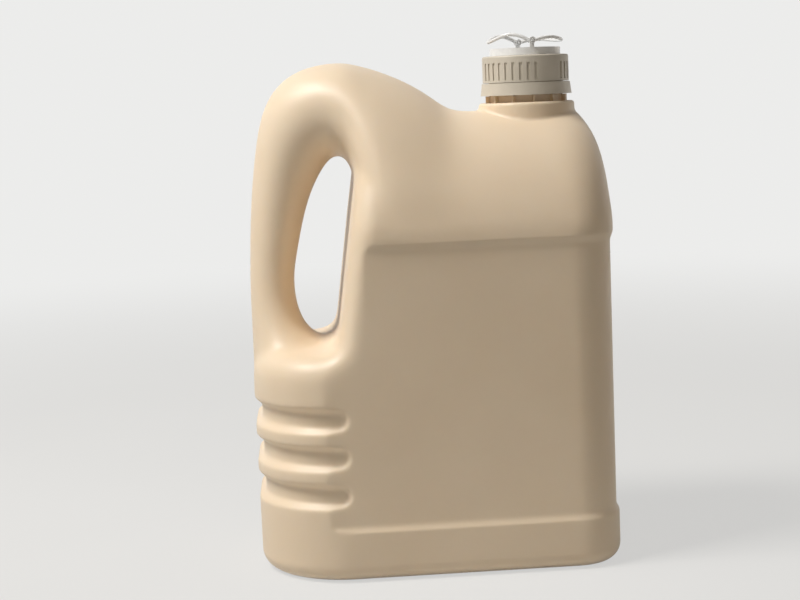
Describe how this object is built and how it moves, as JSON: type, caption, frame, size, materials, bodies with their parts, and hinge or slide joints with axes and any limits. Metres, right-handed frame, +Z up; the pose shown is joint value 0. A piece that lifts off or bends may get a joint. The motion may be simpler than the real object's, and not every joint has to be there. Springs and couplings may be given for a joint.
{
  "type": "plastic drum",
  "caption": "Blow-moulded plastic jug with a through-handle, grip grooves, a sunk label panel and a short neck closed by a fluted screw cap with a clear pull-out stopper.",
  "frame": {"origin": "centre of the bounding box on the plane the base stands on", "axes": "+Z up, +X from the handle towards the neck, -Y out of the front face with the label panel"},
  "size_m": [0.1951, 0.13, 0.2846],
  "materials": {
    "white_hdpe": "satin",
    "closure_white": "satin",
    "seal_foam": "matte",
    "clear_ldpe": "gloss"
  },
  "bodies": {
    "drum": {"body": "white_hdpe", "tamper_band": "closure_white"},
    "seal": {"seal_ring": "seal_foam"},
    "cap": {"cap": "closure_white"},
    "stopper": {"stopper": "clear_ldpe"},
    "bail_left": {"bail_left": "clear_ldpe"},
    "bail_right": {"bail_right": "clear_ldpe"}
  },
  "joints": [
    {"name": "cap_lift", "type": "slide", "parent": "drum", "child": "seal", "axis": [0, 0, 1], "range_m": [0, 0.01]},
    {"name": "cap_turn", "type": "hinge", "parent": "seal", "child": "cap", "pos_m": [0.0592, 0, 0.265], "axis": [0, 0, 1], "range_deg": [0, 720]},
    {"name": "stopper_pull", "type": "slide", "parent": "cap", "child": "stopper", "axis": [0, 0, 1], "range_m": [0, 0.02]},
    {"name": "bail_left_fold", "type": "hinge", "parent": "stopper", "child": "bail_left", "pos_m": [0.0592, 0, 0.2802], "axis": [-0.0698, 0.9976, 0], "range_deg": [0, 70]},
    {"name": "bail_right_fold", "type": "hinge", "parent": "stopper", "child": "bail_right", "pos_m": [0.0592, 0, 0.2802], "axis": [0.0698, -0.9976, 0], "range_deg": [0, 70]}
  ],
  "couplings": [
    {"joint": "cap_lift", "follows": "cap_turn", "m_per_rad": 0.00079577}
  ]
}
